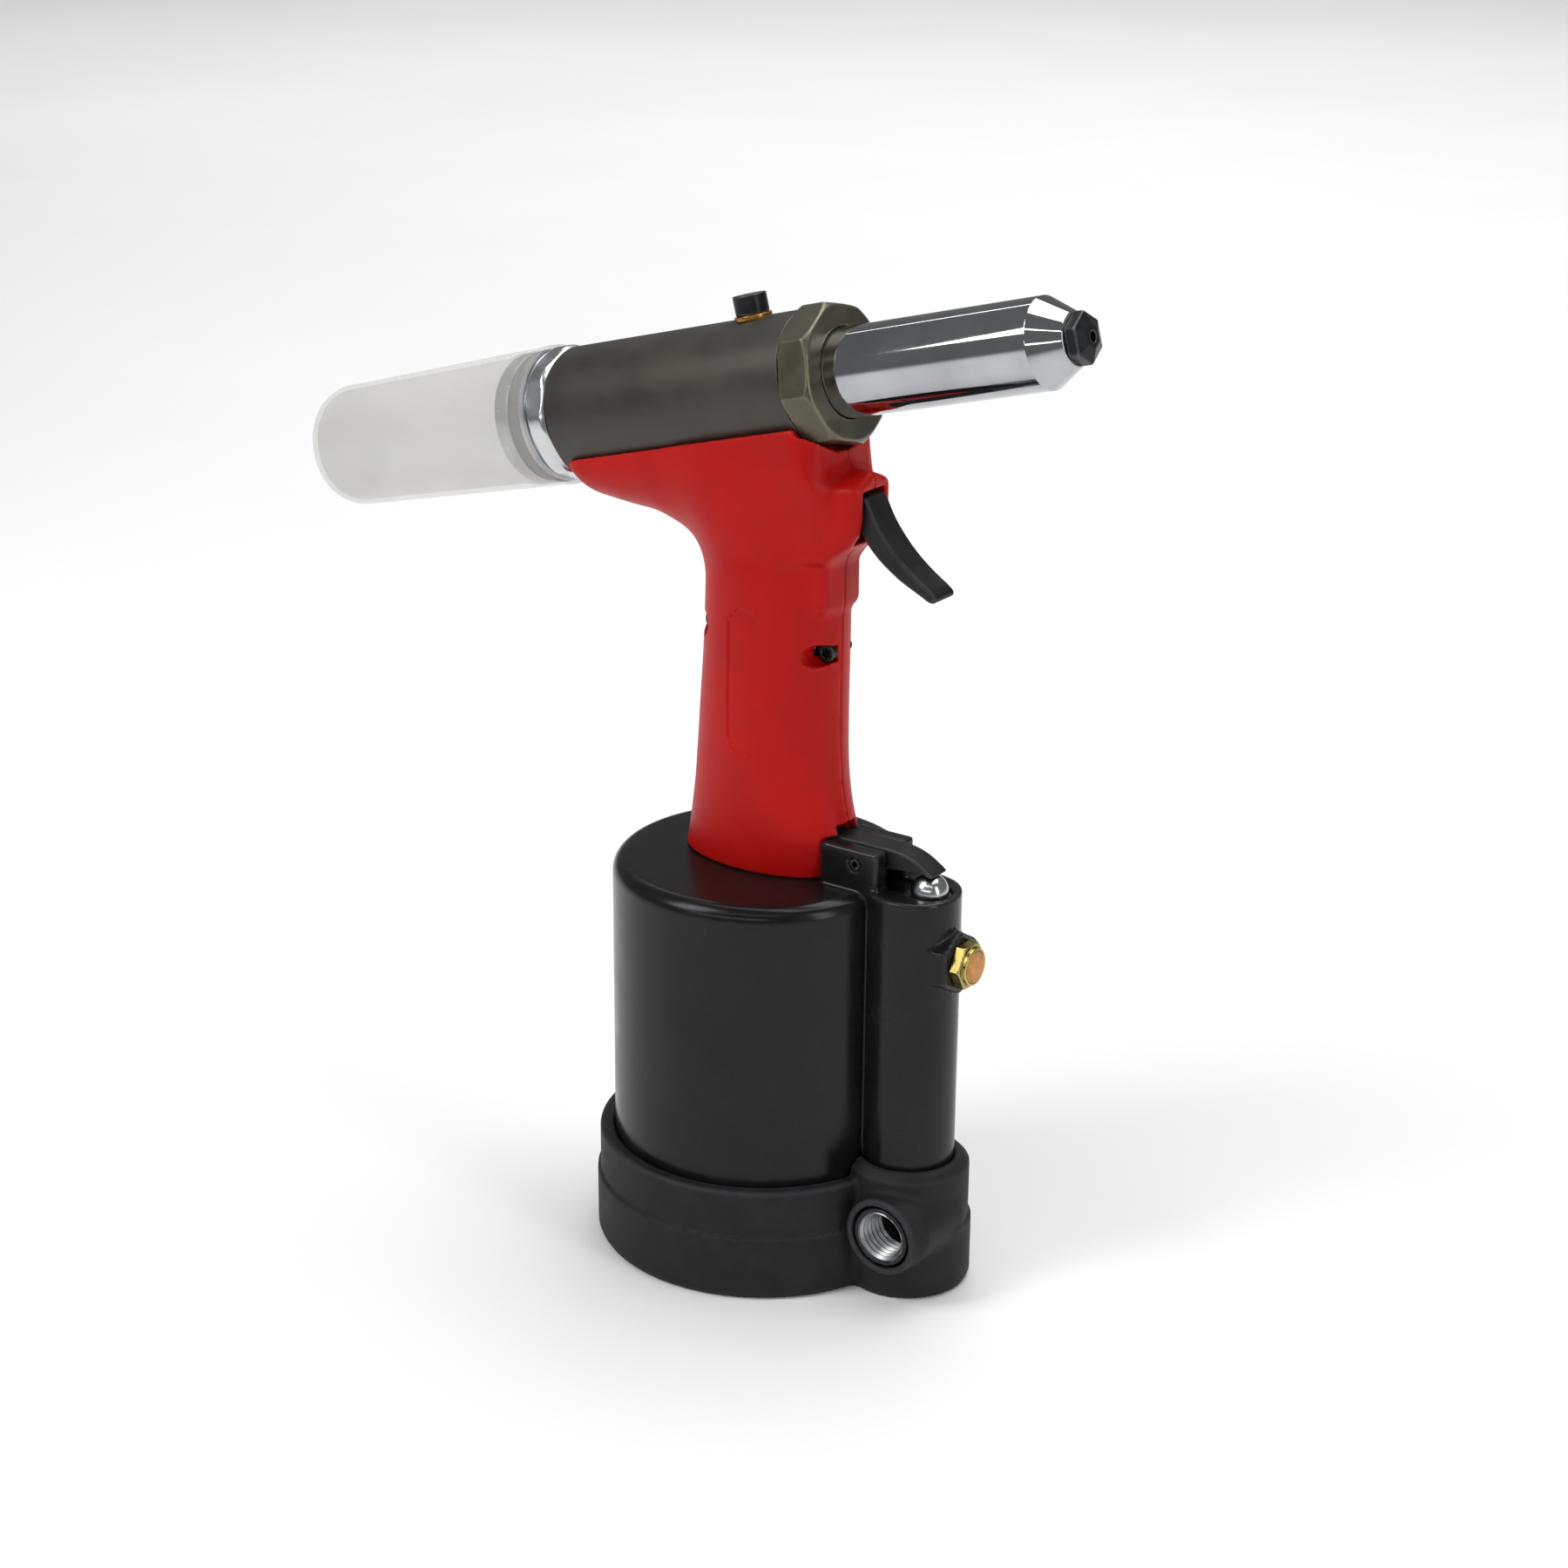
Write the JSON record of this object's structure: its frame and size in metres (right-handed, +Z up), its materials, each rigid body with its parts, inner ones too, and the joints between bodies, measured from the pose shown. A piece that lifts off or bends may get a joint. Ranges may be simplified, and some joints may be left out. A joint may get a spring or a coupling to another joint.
{
  "type": "air hydraulic blind riveter",
  "caption": "Pistol shaped air over oil blind riveter: foot cylinder in a rubber boot, red grip with lever trigger, tilted barrel with chromed nose and a clear mandrel bottle.",
  "frame": {"origin": "centre of the foot's underside, on the axis of the air cylinder", "axes": "+X towards the nose, +Y to the tool's left, +Z up; the barrel is tipped 14.47 degrees nose up from +X"},
  "size_m": [0.2327, 0.0876, 0.2598],
  "materials": {
    "boot_rubber": "moulded black rubber, matt",
    "black_casting": "black powder coated die casting, semi gloss",
    "machined_aluminium": "turned aluminium, bright",
    "seal_rubber": "nitrile rubber",
    "blue_seal": "dark blue polyurethane ring",
    "ground_steel": "ground and hardened steel",
    "black_steel": "blackened steel",
    "spring_steel": "oiled spring wire",
    "brass": "turned brass",
    "sintered_bronze": "sintered bronze granules",
    "grip_plastic": "red moulded nylon, satin",
    "trigger_metal": "black painted casting",
    "grey_anodised": "hard anodised, dark olive grey",
    "olive_anodised": "hard anodised, olive grey",
    "copper_washer": "annealed copper",
    "chrome": "polished chrome plate",
    "nose_steel": "blackened tool steel",
    "clear_bottle": "translucent polyethylene"
  },
  "bodies": {
    "frame": {"base_boot": "boot_rubber", "air_cylinder": "black_casting", "bottom_cap": "machined_aluminium", "cap_seal": "seal_rubber", "snap_ring": "black_steel", "ram_gland": "brass", "gland_seal": "seal_rubber", "valve_plug": "machined_aluminium", "valve_spring": "spring_steel", "valve_bush": "black_steel", "muffler_body": "brass", "muffler_disc": "sintered_bronze", "lever_pin": "black_steel", "trigger_pin": "ground_steel", "grip_right": "grip_plastic", "grip_left": "grip_plastic", "shell_screws": "black_steel", "head_frame": "grey_anodised", "bleed_washer": "copper_washer", "bleed_screw": "black_steel", "front_rod_seal": "seal_rubber", "head_spring": "spring_steel", "lock_nut": "olive_anodised", "nose_sleeve": "chrome", "nosepiece": "nose_steel", "rear_cap": "machined_aluminium", "rear_cap_seal": "seal_rubber", "collector_oring": "blue_seal"},
    "air_piston": {"air_piston": "machined_aluminium", "piston_seal": "seal_rubber", "ram_rod": "ground_steel", "ram_nut": "black_steel"},
    "draw_bar": {"draw_bar": "ground_steel", "head_piston_seal": "seal_rubber", "jaw_case": "ground_steel", "jaw_spring": "spring_steel", "jaw_pusher": "black_steel"},
    "jaw_1": {"jaw_1": "black_steel"},
    "jaw_2": {"jaw_2": "black_steel"},
    "jaw_3": {"jaw_3": "black_steel"},
    "valve": {"valve_spool": "brass", "spool_seals": "seal_rubber", "valve_pin": "ground_steel"},
    "lever": {"rocker_lever": "black_steel"},
    "pull_rod": {"push_rod": "ground_steel", "rod_pin": "ground_steel"},
    "trigger": {"trigger": "trigger_metal"},
    "bottle": {"collector_bottle": "clear_bottle"}
  },
  "joints": [
    {"name": "air_piston_lift", "type": "slide", "parent": "frame", "child": "air_piston", "axis": [0, 0, 1], "range_m": [0, 0.062]},
    {"name": "draw_bar_pull", "type": "slide", "parent": "frame", "child": "draw_bar", "axis": [-0.9683, 0, -0.2499], "range_m": [0, 0.0142], "deforming": ["head_spring"]},
    {"name": "jaw_1_close", "type": "slide", "parent": "draw_bar", "child": "jaw_1", "axis": [0.9378, 0.249, 0.242], "range_m": [0, 0.0012]},
    {"name": "jaw_2_close", "type": "slide", "parent": "draw_bar", "child": "jaw_2", "axis": [0.8839, -0.1245, 0.4508], "range_m": [0, 0.0012]},
    {"name": "jaw_3_close", "type": "slide", "parent": "draw_bar", "child": "jaw_3", "axis": [0.9917, -0.1245, 0.0332], "range_m": [0, 0.0012]},
    {"name": "trigger_pull", "type": "hinge", "parent": "frame", "child": "trigger", "pos_m": [0.024, 0, 0.203], "axis": [0, 1, 0], "range_deg": [0, 12]},
    {"name": "pull_rod_lift", "type": "slide", "parent": "frame", "child": "pull_rod", "axis": [0, 0, 1], "range_m": [0, 0.002]},
    {"name": "lever_rock", "type": "hinge", "parent": "frame", "child": "lever", "pos_m": [0.0334, 0, 0.1134], "axis": [0, 1, 0], "range_deg": [0, 6]},
    {"name": "valve_press", "type": "slide", "parent": "frame", "child": "valve", "axis": [0, 0, -1], "range_m": [0, 0.0018], "stiffness_N_per_m": 150, "springref_m": -0.004, "deforming": ["valve_spring"]},
    {"name": "bottle_pull_off", "type": "slide", "parent": "frame", "child": "bottle", "axis": [-0.9683, 0, -0.2499], "range_m": [0, 0.012]}
  ],
  "couplings": [
    {"joint": "draw_bar_pull", "follows": "air_piston_lift", "ratio": 0.22917},
    {"joint": "jaw_1_close", "follows": "air_piston_lift", "ratio": 0.0193},
    {"joint": "jaw_2_close", "follows": "air_piston_lift", "ratio": 0.0193},
    {"joint": "jaw_3_close", "follows": "air_piston_lift", "ratio": 0.0193},
    {"joint": "trigger_pull", "follows": "valve_press", "rad_per_m": 116.3},
    {"joint": "lever_rock", "follows": "valve_press", "rad_per_m": 57.6},
    {"joint": "pull_rod_lift", "follows": "valve_press", "ratio": 1.07}
  ]
}
